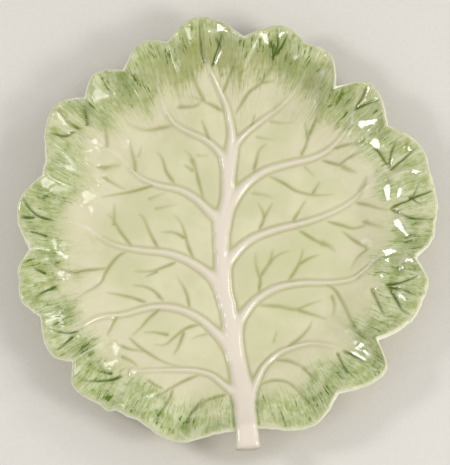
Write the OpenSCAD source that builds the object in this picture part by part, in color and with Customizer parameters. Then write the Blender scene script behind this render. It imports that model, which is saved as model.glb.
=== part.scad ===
// Leaf saucer: a shallow ceramic dish in the form of one cabbage leaf, to stand under a
// soup cup. Millimetres, +Z up. The origin is on the table under the middle of the dish,
// +Y points to the leaf's tip and -Y to its cut stalk.

/* [Leaf] */
// Width of the leaf across its widest lobes
leaf_w = 203; // [180:1:230]
// Height of the rim above the table where neither a lobe, a notch nor a pleat moves it
rim_h = 22; // [19:0.5:28]
// How far the rim rises for each millimetre that it draws in, as at a notch
ruffle = 0.5; // [0:0.05:0.7]
// Radius of the flat floor, for a leaf of the drawn width
floor_r = 58; // [56:0.5:62]
// Thickness of the floor
floor_t = 4.5; // [3.5:0.1:6]
// Thickness of the wall at the lip
lip_t = 3; // [2:0.1:4]
// Share of the wall's width over which it curves up from the floor
foot_blend = 0.2; // [0.1:0.05:0.5]
// How fast the ruffle dies away down the wall: larger values keep it near the lip
ruffle_fade = 2.5; // [1.5:0.1:3.5]
// Roundness of the lobes: small values give full lobes and sharp notches
lobe_round = 1.5; // [0.75:0.05:2]
// Depth of the small pleats that run down from the lip
pleat_d = 1.6; // [0:0.1:2]

/* [Ribs] */
// Width of the stalk at its cut end
stalk_w = 12.2; // [9:0.1:14]
// Width of the midrib where it comes down onto the floor
midrib_w = 8; // [6:0.1:10]
// Width of a common side rib at its root
side_rib_w = 4.3; // [3:0.1:5]
// Width at the far end of every rib
rib_tip_w = 1; // [0.6:0.1:2]
// Height of the midrib above the leaf
midrib_h = 1.5; // [1.2:0.1:2.4]
// Height of a side rib above the leaf
side_rib_h = 1; // [0.8:0.1:1.4]
// Height of the stalk's cut end
stalk_h = 6.5; // [5:0.5:9]
// How far the stalk's cut end droops below its line over the lip
stalk_droop = 1.5; // [0:0.1:3]

/* [Foot] */
// Outer radius of the foot ring, for a leaf of the drawn width
foot_r = 55; // [48:0.5:56]
// Width of the foot ring where it meets the floor
foot_w = 5; // [3:0.1:8]
// Height of the foot ring
foot_h = 3.5; // [2:0.1:5]

/* [Hidden] */
// The leaf's outline and ribs are drawn for a leaf of this width
drawn_w = 203;
k = leaf_w / drawn_w;

// One lobe a row, counter-clockwise from +X: the angle and radius of the notch before
// it, then the angle and radius of its tip
LOBES = [
    [-8.5, 92.3, 0.5, 100.4],
    [2, 100.5, 10, 103],
    [17.8, 102.9, 23.5, 104.1],
    [34.2, 93.8, 47, 102.4],
    [53.2, 87.2, 62.5, 103.4],
    [68.2, 102.4, 75, 107.8],
    [85.3, 97.7, 97.3, 110],
    [107, 99.3, 113, 104],
    [122, 94.5, 128.6, 102.3],
    [135.6, 96.2, 142, 105.3],
    [158, 94.3, 160, 94],
    [162.5, 93.4, 172.5, 102.1],
    [185.4, 95.7, 191, 102.8],
    [193, 102.9, 197.5, 104.8],
    [205.4, 99.6, 215.3, 104.4],
    [221.2, 99, 227.3, 107.2],
    [234.3, 105.3, 236.8, 106.2],
    [239, 103.8, 242, 104],
    [245.4, 103.3, 256.6, 107.3],
    [266.5, 101.7, 270.5, 100.5],
    [279.5, 100, 293, 105.2],
    [303.2, 97.6, 319, 103.7],
    [322.6, 91.2, 337.5, 100.5],
    [340, 100.4, 344.5, 100.8],
];
lobe_count = len(LOBES);
// Half width and half length of the oval that the lobes stand out from
oval = [97, 104];
// The pleats are two sets of waves round the rim: how many in a turn, and the phase at +X
PLEATS = [[19, 23], [31, 120]];
// How far the phase of the pleats shifts on their way up the wall
pleat_drift = 140;
// Shares of the way up the wall where the pleats begin and where they have their full depth
pleat_span = [0.05, 0.8];

// Middle line of the midrib on the plan, from the stalk's cut end to the tip. Its second
// point is just outside the lip
MIDRIB = [
    [10.1, -108.2], [9.7, -102.4], [8.7, -89], [6.8, -73], [4.2, -58.5], [1.5, -41],
    [-1.6, -24], [-2.9, -6], [-1.4, 13], [0.7, 29], [1.5, 44], [2, 54],
    [-0.3, 65.5], [-4.6, 75], [-8.5, 83],
];
// Where each side rib leaves the midrib, counted in the midrib's points
LEFT_ROOTS = [9.35, 7.75, 6.05, 4.3, 2.7];
RIGHT_ROOTS = [9.75, 8.15, 6.6, 4.8, 2.5];
// Width of each side rib's root over that of a common one
LEFT_WIDTHS = [0.8, 1, 1.1, 1, 0.8];
RIGHT_WIDTHS = [0.7, 1.1, 1, 1, 0.8];
// Middle lines of the side ribs after their roots
LEFT_RIBS = [
    [[-3, 42], [-9.6, 49], [-19.7, 54], [-26, 58], [-29.5, 63]],
    [[-9, 14], [-15, 20], [-23, 24.5], [-33, 26.7], [-41, 30], [-47, 35.3]],
    [[-10, -17], [-19.5, -10.6], [-30, -7], [-43, -5.6], [-54, -3.2], [-62, 1]],
    [[-6, -46.5], [-14, -39.5], [-24, -35], [-36, -34.3], [-50, -38], [-61, -40.2], [-71, -46.3]],
    [[-1, -74.3], [-7.5, -68.6], [-16, -66.2], [-27, -66.2], [-43, -67.5]],
];
RIGHT_RIBS = [
    [[4.4, 47], [9.5, 53.3], [17, 59.3], [23.5, 63.6], [29, 68.3]],
    [[6.5, 24.3], [12, 29.8], [19.5, 34.4], [30, 37.6], [40.5, 40.2], [49, 44.2], [55, 49.8], [60, 56.5]],
    [[6.5, -4.4], [14, 1], [25, 5], [37, 8], [48, 12], [58, 17.3], [64.5, 22.5]],
    [[9, -36.5], [14.5, -30.2], [24, -24.6], [36, -22.2], [50, -22], [61, -19.8], [69.5, -13.2]],
    [[13.8, -73], [17.5, -64.5], [23.5, -58.2], [31, -54.5], [40.5, -52.6], [51, -55]],
];
// Point of the midrib where the stalk has narrowed to the midrib's own width
stalk_neck = 4;
// How much longer a rib's root is along the midrib than the rib is wide
root_spread = 1.7;
// Share of a rib's height that is gone at its far end
rib_fade = 0.75;

floor_top = foot_h + floor_t;
// How far the rounded lip stands out past the edge of the leaf's upper face
lip_out = 0.6 * lip_t;
// Steps of the surfaces: across half a lobe, up the inside and outside of the wall
lobe_steps = 5;
wall_steps = 8;
back_steps = 6;
floor_rings = [1 / 3, 2 / 3];
// Stations along a rib for each stretch between its points
rib_steps = 3;
// Outline of a rib across its width: offset in half widths, height in full heights
RIB_PROFILE = [[-1, 0], [-0.8, 0.62], [-0.4, 0.95], [0, 1], [0.4, 0.95], [0.8, 0.62], [1, 0]];
// Width of the stalk's underside over its full width
stalk_under = 0.7;

glaze_green = "#d6d2ab";
glaze_cream = "#ebdfc9";
bare_clay = "#d8c4a4";

// The lobe that holds an angle between the first notch and one turn past it
function lobe_at(a) = max([for (i = [0:lobe_count - 1]) if (LOBES[i][0] <= a) i]);

// Radius of the lip at an angle: each lobe swells from its notches to its tip
function outline(angle) =
    let (
        turn = LOBES[0][0],
        a = turn + ((angle - turn) % 360 + 360) % 360,
        i = lobe_at(a),
        lobe = LOBES[i],
        next = LOBES[(i + 1) % lobe_count],
        next_notch = next[0] + (i == lobe_count - 1 ? 360 : 0),
        rising = a < lobe[2],
        share = rising ? (a - lobe[0]) / (lobe[2] - lobe[0])
                       : (next_notch - a) / (next_notch - lobe[2]),
        notch_r = rising ? lobe[1] : next[1]
    )
    notch_r + (lobe[3] - notch_r) * pow(sin(90 * share), lobe_round);

// Radius of the oval that the lobes stand out from
function oval_r(a) = 1 / norm([cos(a) / oval.x, sin(a) / oval.y]);

// Rise of the wall at a share of the way from the floor to the lip: a short curve up from the
// floor, then an even climb
function wall_rise(u) =
    (u < foot_blend ? u * u / (2 * foot_blend) : u - foot_blend / 2) / (1 - foot_blend / 2);

// Smooth step from 0 at the low end of a range to 1 at its high end
function smooth_step(low, high, v) =
    let (s = max(0, min(1, (v - low) / (high - low))))
    s * s * (3 - 2 * s);

// How deep the pleats lie at an angle and a share of the way up the wall
function pleat_sink(a, u) =
    let (waves = [for (p = PLEATS) sin(p[0] * a + p[1] + pleat_drift * u)])
    pleat_d * smooth_step(pleat_span[0], pleat_span[1], u) * (2 - waves[0] - waves[1]) / 4;

// How far a place that is a share of the way up the wall is drawn out by the lobe over it
function lobe_pull(a, u) = (outline(a) - oval_r(a)) * pow(u, ruffle_fade);

// Radius and height of the leaf's upper face at an angle and a share of the way up the wall
function wall_width(a) = oval_r(a) * k - lip_out - floor_r * k;
function wall_r(a, u) = floor_r * k + u * wall_width(a) + lobe_pull(a, u) * k;
function wall_z(a, u) =
    floor_top + (rim_h - floor_top) * wall_rise(u) - ruffle * lobe_pull(a, u) - pleat_sink(a, u);

// Share of the way up the wall at a place on the plan, found by closing in on it
function wall_share(r, a, u = 0.5, turns = 12) =
    let (near = max(0, min(1, u)))
    turns == 0 ? near
               : wall_share(r, a, (r - floor_r * k - lobe_pull(a, near) * k) / wall_width(a), turns - 1);

// Height of the leaf's upper face at a place on the plan
function leaf_z(p) =
    let (a = atan2(p.y, p.x))
    norm(p) <= floor_r * k ? floor_top : wall_z(a, wall_share(norm(p), a));

// A point of the wall at an angle, a share of the way up, sunk by a depth square to it
function wall_point(a, u, depth = 0) =
    let (
        step = 0.01,
        low = max(u - step, 0),
        high = min(u + step, 1),
        slope = u == 0 ? 0 : (wall_z(a, high) - wall_z(a, low)) / (wall_r(a, high) - wall_r(a, low)),
        sink = depth / sqrt(1 + slope * slope),
        out = wall_r(a, u) + sink * slope
    )
    [out * cos(a), out * sin(a), wall_z(a, u) - sink];

// The outermost point of the rounded lip at an angle, half way between its upper and lower edges
function lip_point(a) =
    let (middle = (wall_point(a, 1) + wall_point(a, 1, lip_t)) / 2, r = outline(a) * k)
    [r * cos(a), r * sin(a), middle.z];

function flat_ring(angles, r, z) = [for (a = angles) [r * cos(a), r * sin(a), z]];

// Joins equal rings of points, one after another, into a closed skin with both ends capped
module ring_skin(rings, first_cap, last_cap) {
    n = len(rings[0]);
    rows = len(rings);
    points = concat([for (ring = rings) each ring], [first_cap, last_cap]);
    sides = [
        for (row = [0:rows - 2], i = [0:n - 1])
            let (j = (i + 1) % n, here = row * n, up = here + n)
            each [[here + i, up + i, up + j], [here + i, up + j, here + j]]
    ];
    caps = [
        for (i = [0:n - 1])
            let (j = (i + 1) % n, last = (rows - 1) * n)
            each [[rows * n, i, j], [rows * n + 1, last + j, last + i]]
    ];
    polyhedron(points, concat(sides, caps), convexity = 6);
}

// Angles of the leaf's radial lines: every notch and tip, with even steps between
function leaf_angles() = [
    for (i = [0:lobe_count - 1])
        let (
            lobe = LOBES[i],
            next = LOBES[(i + 1) % lobe_count][0] + (i == lobe_count - 1 ? 360 : 0)
        )
        each concat(
            [for (j = [0:lobe_steps - 1]) lobe[0] + (lobe[2] - lobe[0]) * j / lobe_steps],
            [for (j = [0:lobe_steps - 1]) lobe[2] + (next - lobe[2]) * j / lobe_steps]
        )
];

// The dished leaf: floor, wall and ruffled rim, as one shell
module leaf_blade() {
    angles = leaf_angles();
    inside = concat(
        [for (share = floor_rings) flat_ring(angles, floor_r * k * share, floor_top)],
        [for (i = [0:wall_steps]) [for (a = angles) wall_point(a, i / wall_steps)]]
    );
    lip = [[for (a = angles) lip_point(a)]];
    outside = concat(
        [
            for (i = [back_steps:-1:0])
                let (u = i / back_steps)
                [for (a = angles) wall_point(a, u, floor_t + (lip_t - floor_t) * u)]
        ],
        [for (i = [len(floor_rings) - 1:-1:0]) flat_ring(angles, floor_r * k * floor_rings[i], foot_h)]
    );
    color(glaze_green)
    ring_skin(concat(inside, lip, outside), [0, 0, floor_top], [0, 0, foot_h]);
}

// A place on the smooth curve through some points, counted in points from the first
function on_curve(points, t) =
    let (
        last = len(points) - 1,
        i = min(floor(t), last - 1),
        f = t - i,
        before = points[max(i - 1, 0)],
        from = points[i],
        to = points[i + 1],
        after = points[min(i + 2, last)]
    )
    (2 * from + (to - before) * f + (2 * before - 5 * from + 4 * to - after) * f * f
        + (3 * from - before - 3 * to + after) * f * f * f) / 2;

function unit(v) = v / norm(v);

// The way that the curve runs, and the way to the left of it
function curve_way(points, t) =
    let (step = 0.02, last = len(points) - 1)
    unit(on_curve(points, min(t + step, last)) - on_curve(points, max(t - step, 0)));
function left_of(way) = [-way.y, way.x];

// One cross-section of a rib: over its rounded top, then back along the leaf under it.
// A sink lowers the underside below the leaf, under sets the underside's width, and a droop
// lowers the whole section
function rib_section(middle, side, height, sink = 0, under = 1, droop = 0) =
    concat(
        [
            for (p = RIB_PROFILE)
                let (at_leaf = p[1] == 0, place = middle + side * p[0] * (at_leaf ? under : 1))
                [place.x, place.y, leaf_z(place) + height * p[1] - (at_leaf ? sink : 0) - droop]
        ],
        [[middle.x, middle.y, leaf_z(middle) - sink - droop]]
    );

// The midrib's width along its curve: the stalk narrows to the neck, then the rib to its tip
function midrib_width(t) =
    let (last = len(MIDRIB) - 1)
    t < stalk_neck ? stalk_w + (midrib_w - stalk_w) * t / stalk_neck
                   : midrib_w + (rib_tip_w - midrib_w) * (t - stalk_neck) / (last - stalk_neck);

function midrib_height(t) = midrib_h * (1 - rib_fade * pow(t / (len(MIDRIB) - 1), 3));

// The midrib with its stalk: the stalk hangs past the lip, and the rest is seated on the leaf
module midrib() {
    last = len(MIDRIB) - 1;
    stalk = [
        for (j = [0:rib_steps])
            let (
                t = j / rib_steps,
                side = left_of(curve_way(MIDRIB, t)) * midrib_width(t) / 2,
                droop = stalk_droop * (1 - t) * (1 - t)
            )
            rib_section(on_curve(MIDRIB, t) * k, side, midrib_height(t), stalk_h - midrib_h,
                stalk_under, droop)
    ];
    rib = [
        for (j = [rib_steps:last * rib_steps])
            let (t = j / rib_steps, side = left_of(curve_way(MIDRIB, t)) * midrib_width(t) / 2)
            rib_section(on_curve(MIDRIB, t) * k, side, midrib_height(t))
    ];
    start = MIDRIB[0] * k;
    end = MIDRIB[last] * k;
    color(glaze_cream)
    ring_skin(
        concat(stalk, rib),
        [start.x, start.y, leaf_z(start) - stalk_droop],
        [end.x, end.y, leaf_z(end) + midrib_height(last) / 2]
    );
}

// Offset of the midrib's flank, in half widths, at a height above the leaf
function flank_at(height, t) =
    lookup(height / midrib_height(t), [for (p = RIB_PROFILE) if (p[0] >= 0) [p[1], p[0]]]);

// The root of a side rib, laid on the flank of the midrib. Its hand is 1 on the left of the
// midrib and -1 on the right
function root_section(root, hand, width, height) =
    let (
        way = curve_way(MIDRIB, root),
        half = midrib_width(root) / 2,
        out = left_of(way) * hand,
        foot = on_curve(MIDRIB, root) * k + out * half,
        side = -way * hand * width * root_spread / 2,
        points = [
            for (p = RIB_PROFILE)
                let (
                    place = foot + side * p[0],
                    rise = height * p[1],
                    on_flank = place - out * half * (1 - flank_at(rise, root))
                )
                [on_flank.x, on_flank.y, leaf_z(place) + rise]
        ]
    )
    concat(points, [[foot.x, foot.y, leaf_z(foot)]]);

// A side rib on the leaf, from its root on the midrib to its far end
module side_rib(root, hand, width, points) {
    way = curve_way(MIDRIB, root);
    start = on_curve(MIDRIB, root) + left_of(way) * hand * midrib_width(root) / 2 / k;
    line = concat([start], points);
    last = len(line) - 1;
    first = root_section(root, hand, width, side_rib_h);
    rest = [
        for (j = [1:last * rib_steps])
            let (
                t = j / rib_steps,
                share = t / last,
                turned = min(t, 1),
                across = unit(left_of(curve_way(line, t)) * turned - way * hand * (1 - turned)),
                spread = 1 + (root_spread - 1) * (1 - turned),
                half = (width + (rib_tip_w - width) * share) * spread / 2
            )
            rib_section(on_curve(line, t) * k, across * half, side_rib_h * (1 - rib_fade * share * share))
    ];
    end = points[last - 1] * k;
    root_cap = (first[2] + first[4] + first[len(RIB_PROFILE)]) / 3;
    color(glaze_cream)
    ring_skin(
        concat([first], rest),
        root_cap,
        [end.x, end.y, leaf_z(end) + side_rib_h * (1 - rib_fade) / 2]
    );
}

// The ring that the dish stands on, with a rounded standing edge
module foot_ring() {
    edge = foot_w / 4;
    color(bare_clay)
    rotate_extrude($fn = 128)
    translate([foot_r * k - foot_w, 0])
    polygon([
        [edge, 0], [foot_w - edge, 0], [foot_w - edge / 3, edge / 2],
        [foot_w, foot_h], [0, foot_h], [edge / 3, edge / 2],
    ]);
}

leaf_blade();
midrib();
for (i = [0:len(LEFT_RIBS) - 1])
    side_rib(LEFT_ROOTS[i], 1, side_rib_w * LEFT_WIDTHS[i], LEFT_RIBS[i]);
for (i = [0:len(RIGHT_RIBS) - 1])
    side_rib(RIGHT_ROOTS[i], -1, side_rib_w * RIGHT_WIDTHS[i], RIGHT_RIBS[i]);
foot_ring();
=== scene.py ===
import math

import bpy
import numpy as np
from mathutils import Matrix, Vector


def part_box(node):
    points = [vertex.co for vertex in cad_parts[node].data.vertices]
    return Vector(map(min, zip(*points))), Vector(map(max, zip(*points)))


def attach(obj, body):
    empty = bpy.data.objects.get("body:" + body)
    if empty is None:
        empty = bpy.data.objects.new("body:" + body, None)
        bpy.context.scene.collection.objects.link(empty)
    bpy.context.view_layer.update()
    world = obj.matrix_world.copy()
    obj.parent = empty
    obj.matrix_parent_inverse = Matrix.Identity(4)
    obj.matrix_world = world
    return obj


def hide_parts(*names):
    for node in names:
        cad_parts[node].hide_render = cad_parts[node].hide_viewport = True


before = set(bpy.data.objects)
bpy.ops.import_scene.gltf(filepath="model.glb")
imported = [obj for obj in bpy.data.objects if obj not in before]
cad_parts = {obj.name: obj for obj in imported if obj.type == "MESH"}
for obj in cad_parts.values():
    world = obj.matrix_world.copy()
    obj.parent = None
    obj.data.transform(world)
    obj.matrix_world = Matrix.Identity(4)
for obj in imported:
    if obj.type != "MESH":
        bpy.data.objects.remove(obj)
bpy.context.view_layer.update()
mm = 0.001
deg = math.pi / 180
print("frame loaded:", len(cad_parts), "nodes")

# Leaf form, in millimetres: the sizes of the solids, but for a rim 0.1 lower, fuller lobes, one lobe's tip
# and finer relief
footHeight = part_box("foot_ring")[1].z / mm
leaf = {
    "ovalHalf": (97, 104),      # oval that the lobes stand out from
    "floorRadius": 58,
    "floorThick": 4.5,
    "lipThick": 3,
    "lipOut": 1.8,              # how far the rounded lip stands past the upper face
    "rimHeight": 21.9,
    "footBlend": 0.2,           # share of the wall's width over which it curves up from the floor
    "ruffle": 0.5,
    "ruffleFade": 2.5,
    "lobeRound": 1.15,
    "ease": 0.2,                # how far the lip's notches and tips stay inside the solid's
    "lipRipple": 0.5,           # small ripples that the fingers pinched into the lip
    "lipWaves": ((53, 0.4), (83, 2.1), (127, 4.4)),  # waves in a turn, and phase
    "rippleFade": 6,            # how soon the ripples die away below the lip
    "pleatDepth": 1.6,          # small pleats that run down from the lip
    "pleats": ((19, 23), (31, 120)),                 # waves in a turn, and phase in degrees
    "pleatSpan": (0.05, 0.8),   # share of the wall over which they grow
    "pleatDrift": 140,          # how far the waves drift round on their way up
    "creaseDepth": 0.2,         # finer creases between the pleats
    "creaseSpan": (0.2, 0.8),
    "creaseLean": 3,
    "waveDepth": 0.25,          # slow unevenness of hand work
    "lumpDepth": 0.2,           # small lumps that the fingers left
    "floorLumps": 0.5,          # share of them on the floor
    "lumpSpan": (0.02, 0.25),
    "slopeStep": 0.01,          # share of the wall over which a slope is read
    "closeIn": 14,              # rounds of closing in on a share of the wall
    "pastLip": 3,               # how far past the lip a slope levels out
    "ribSink": (0.7, 1.3),      # how far inside a rib's edge the leaf dips under the rib
    "ribGap": 0.2,              # how far below the rib's groove it then lies
    "ribClear": (-0.4, 0.4),    # where the cuts and folds end at a rib's edge
    "backGreen": 0.4,           # green of the underside, how far it runs in, and where its strokes start
    "backReach": 24,
    "backStreak": 40,
    "lipLine": (0.0, 0.8, 1.0, 0.5),                 # pale line over the first rows of the lip
    "gridCells": 280,           # cells across the upper face
    "lipRows": 5,
    "backRows": 6,
}
floorTop = footHeight + leaf["floorThick"]

# One lobe a row, counter-clockwise from +X: notch angle and radius, then tip angle and radius
lobes = np.array([
    [-8.5, 92.3, 0.5, 100.4], [2, 100.5, 10, 103], [17.8, 102.9, 23.5, 104.1], [34.2, 93.8, 47, 102.4],
    [53.2, 87.2, 62.5, 103.4], [68.2, 102.4, 75, 107.8], [85.3, 97.7, 97.3, 110], [107, 99.3, 113, 104],
    [122, 94.5, 128.6, 102.3], [135.6, 96.2, 142, 105.3], [158, 94.3, 160, 94],
    [162.5, 93.4, 172.5, 102.1], [185.4, 95.7, 191, 102.8], [193, 102.9, 197.5, 104.8],
    [205.4, 99.6, 215.3, 104.4], [221.2, 99, 227.3, 107.2], [234.3, 105.3, 236.8, 106.2],
    [239, 103.8, 242, 104], [245.4, 103.3, 256.6, 107.3], [266.5, 101.7, 270.5, 100.5],
    [279.5, 100, 293, 105.2], [303.2, 97.6, 317.5, 103.7], [322.6, 91.2, 337.5, 100.5],
    [340, 100.4, 344.5, 100.8],
])


# Smooth step from 0 at low to 1 at high
def softStep(low, high, value):
    share = np.clip((value - low) / (high - low), 0, 1)
    return share * share * (3 - 2 * share)


# Bell curve: one at the middle, falling off over the spread
def bellCurve(value, middle, spread):
    return np.exp(-((value - middle) / spread) ** 2)


# Radius of the lobes: each swells from its notches to its tip as a power of a sine
def lobeRadius(turn):
    notchTurn, notchRadius, tipTurn, tipRadius = lobes.T
    turn = notchTurn[0] + (turn / deg - notchTurn[0]) % 360
    here = np.searchsorted(notchTurn, turn, side="right") - 1
    after = (here + 1) % len(lobes)
    nextTurn = notchTurn[after] + 360 * (after == 0)
    rising = turn < tipTurn[here]
    upShare = (turn - notchTurn[here]) / (tipTurn[here] - notchTurn[here])
    downShare = (nextTurn - turn) / (nextTurn - tipTurn[here])
    share = np.clip(np.where(rising, upShare, downShare), 0, 1)
    low = np.where(rising, notchRadius[here], notchRadius[after])
    swell = np.sin(share * math.pi / 2) ** leaf["lobeRound"]
    return low + (tipRadius[here] - low) * swell - leaf["ease"]


# Ripples of the lip: three sets of small waves that draw it in
def lipRipple(turn):
    waves = [1 - np.sin(count * turn + phase) for count, phase in leaf["lipWaves"]]
    return leaf["lipRipple"] * sum(waves) / (2 * len(waves))


# Radius of the lip: the lobes' radius less the ripples
def lipRadius(turn):
    return lobeRadius(turn) - lipRipple(turn)


# Radius of the oval, from its two half sizes
def ovalRadius(turn):
    return 1 / np.hypot(np.cos(turn) / leaf["ovalHalf"][0], np.sin(turn) / leaf["ovalHalf"][1])


# How far the wall is drawn out by the lobe above: all of it at the lip, less and less below
def lobePull(turn, up):
    return (lobeRadius(turn) - ovalRadius(turn)) * up ** leaf["ruffleFade"]


# How far the wall is drawn out in all: by the lobe, less the ripples, which die away soon below the lip
def wallPull(turn, up):
    return lobePull(turn, up) - lipRipple(turn) * up ** leaf["rippleFade"]


# Width of the wall on the plan: from the floor to the oval, less the rounded lip
def wallWidth(turn):
    return ovalRadius(turn) - leaf["lipOut"] - leaf["floorRadius"]


# Radius of the upper face at a share of the way up the wall: straight out, plus what draws the wall out
def wallRadius(turn, up):
    return leaf["floorRadius"] + up * wallWidth(turn) + wallPull(turn, up)


# Depth of the pleats: two sets of waves round the rim, from nothing on the floor to all near the lip
def pleatSink(turn, up):
    drift = leaf["pleatDrift"] * deg * up
    waves = sum(1 - np.sin(count * turn + phase * deg + drift) for count, phase in leaf["pleats"])
    return leaf["pleatDepth"] * softStep(*leaf["pleatSpan"], up) * waves / (2 * len(leaf["pleats"]))


# Height of the upper face: a short curve up from the floor, then an even climb to the lip, less half of
# the lobe's pull and the pleats
def wallHeight(turn, up):
    bend = leaf["footBlend"]
    rise = np.where(up < bend, up ** 2 / (2 * bend), up - bend / 2) / (1 - bend / 2)
    smooth = floorTop + (leaf["rimHeight"] - floorTop) * rise
    return smooth - leaf["ruffle"] * lobePull(turn, up) - pleatSink(turn, up)


# Slope of the wall along a radius, from two near heights
def wallSlope(turn, up):
    step = leaf["slopeStep"]
    low, high = np.clip(up - step, 0, 1), np.clip(up + step, 0, 1)
    climb = wallHeight(turn, high) - wallHeight(turn, low)
    return np.where(up > 0, climb / (wallRadius(turn, high) - wallRadius(turn, low)), 0)


# Share of the way up the wall under a place on the plan, found by closing in on it
def wallShare(radius, turn):
    up = np.full_like(radius, 0.5)
    for _ in range(leaf["closeIn"]):
        up = np.clip((radius - leaf["floorRadius"] - wallPull(turn, up)) / wallWidth(turn), 0, 1)
    return up


# Places on the plan lifted square to the leaf's upper face
def liftOff(x, y, lift):
    turn = np.arctan2(y, x)
    up = wallShare(np.hypot(x, y), turn)
    past = np.hypot(x, y) - wallRadius(turn, up)
    slope = wallSlope(turn, up) * softStep(leaf["pastLip"], 0, past)
    rise = lift / np.sqrt(1 + slope ** 2)
    height = wallHeight(turn, up)
    return np.stack([x - rise * slope * np.cos(turn), y - rise * slope * np.sin(turn), height + rise], -1)


# The photograph's plane: its scale, its middle and the tilt of the view, to place what is read from it
view = {"mmPerPixel": 0.481, "middle": (227, 242.9), "elevation": 74, "azimuth": 0, "rounds": 6}

# Lamps: name, direction from the dish (turn, elevation), distance, watts, and sizes that share the watts:
# discs inside each other give a lamp a soft edge
lamps = [
    ("keyBox", -22, 38, 1.2, 5.6, (0.3, 0.6)),
    ("windowBox", 27, 35, 1.2, 2.4, (0.26, 0.5)),
    ("sideBox", 172, 40, 1.1, 3.2, (0.26,)),
    ("fillBox", 225, 50, 1.3, 1.4, (1.0,)),
]


# Place of a lamp in metres, from its turn, elevation and distance
def lampPlace(turn, elevation, distance):
    flat = math.cos(elevation * deg)
    way = [math.cos(turn * deg) * flat, math.sin(turn * deg) * flat, math.sin(elevation * deg)]
    return distance * np.array(way)


# Height of the smooth upper face over places on the plan
def baseHeight(x, y):
    turn = np.arctan2(y, x)
    return wallHeight(turn, wallShare(np.hypot(x, y), turn))


# Places on the leaf under pixels of the photograph: the height is found with the place, in a few rounds
def onLeaf(pixels):
    pixels = np.array(pixels, float)
    x = (pixels[:, 0] - view["middle"][0]) * view["mmPerPixel"]
    across = (view["middle"][1] - pixels[:, 1]) * view["mmPerPixel"]
    tilt = view["elevation"] * deg
    height = np.full_like(x, floorTop)
    for _ in range(view["rounds"]):
        y = (across - height * math.cos(tilt)) / math.sin(tilt)
        height = baseHeight(x, y)
    return np.stack([x, y], -1)


# Smooth curve through points: each stretch is a cubic with slopes taken from its neighbours
def onCurve(points, t):
    last = len(points) - 1
    i = np.clip(np.floor(t).astype(int), 0, last - 1)
    f = (t - i)[:, None]
    before, start = points[np.maximum(i - 1, 0)], points[i]
    end, after = points[i + 1], points[np.minimum(i + 2, last)]
    bend = 2 * before - 5 * start + 4 * end - after
    twist = 3 * start - before - 3 * end + after
    return (2 * start + (end - before) * f + bend * f ** 2 + twist * f ** 3) / 2


# Directions of length one
def unitRows(way):
    return way / np.linalg.norm(way, axis=-1, keepdims=True)


# Nearest distance from places to a line of short stretches, and how far along the line that is
def nearestOnLine(x, y, line):
    start, way = line[:-1], line[1:] - line[:-1]
    dx, dy = x[:, None] - start[:, 0], y[:, None] - start[:, 1]
    f = np.clip((dx * way[:, 0] + dy * way[:, 1]) / (way ** 2).sum(1), 0, 1)
    gap = (dx - f * way[:, 0]) ** 2 + (dy - f * way[:, 1]) ** 2
    best = gap.argmin(1)
    row = np.arange(len(x))
    return np.sqrt(gap[row, best]), best + f[row, best]


# Ribs: their form, then their middle lines on the plan, as in the solids but for a stalk 0.1 shorter
ribForm = {
    "stalkWidth": 12.2, "midribWidth": 8, "sideWidth": 4.3, "tipWidth": 1,
    "midribHeight": 1.15, "sideHeight": 0.75, "fade": 0.75,
    "neck": 4,               # point of the midrib where the stalk has narrowed
    "blend": 0.9,            # radius of the web where ribs meet
    "grooveDepth": 0.45, "grooveWidth": 1.0, "grooveOut": 0.5,
    "shoulder": 2.4,         # width of the round shoulder between a rib's edge and its top
    "rootFlare": 0.35,       # how much wider a side rib is at its root, and how far that runs
    "rootRun": 1.6,
    "rootBack": 0.55,        # how far back along the midrib a side rib starts, and how near its flank
    "flank": 0.8,
    "midribGroove": ((0, 2, 11, 14), (0.5, 1, 1, 0.4)),     # groove beside the midrib, from point to point
    "sideGroove": ((0, 0.6, 1), (1, 0.9, 0.35)),            # groove beside a side rib, along its length
    "seat": 0.35,            # how far a rib's underside is let into the leaf
    "midribOver": 0.05, "sideOver": 0.025,                  # how far a rib's top lies over the leaf
    "sideSink": 1.2, "sinkSpan": (0.7, 1.6),                # how a side rib dives inside the midrib
    "stalkDrop": 4.8, "stalkDroop": 1.5,
    "stalkSpan": (1.35, 0.95),                              # points of the midrib where its belly grows
    "stalkRound": (0.45, 0.93, 1, 0.93, 0.45),              # the belly's depth across the underside
    "underside": (0.94, 0.5, 0, -0.5, -0.94),               # places across the underside, in half widths
    "topPoints": 15,         # places across the top
    "step": 0.7,             # stations along a rib
    "fine": 40,              # short stretches between two points, to measure its length
    "reach": 9,              # how far from a rib its field is worked out
    "skip": 3,               # stations that one stretch of that field spans
}
midribPoints = np.array([
    [10.1, -108.1], [9.7, -102.4], [8.7, -89], [6.8, -73], [4.2, -58.5], [1.5, -41], [-1.6, -24],
    [-2.9, -6], [-1.4, 13], [0.7, 29], [1.5, 44], [2, 54], [-0.3, 65.5], [-4.6, 75], [-8.5, 83],
])
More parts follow.
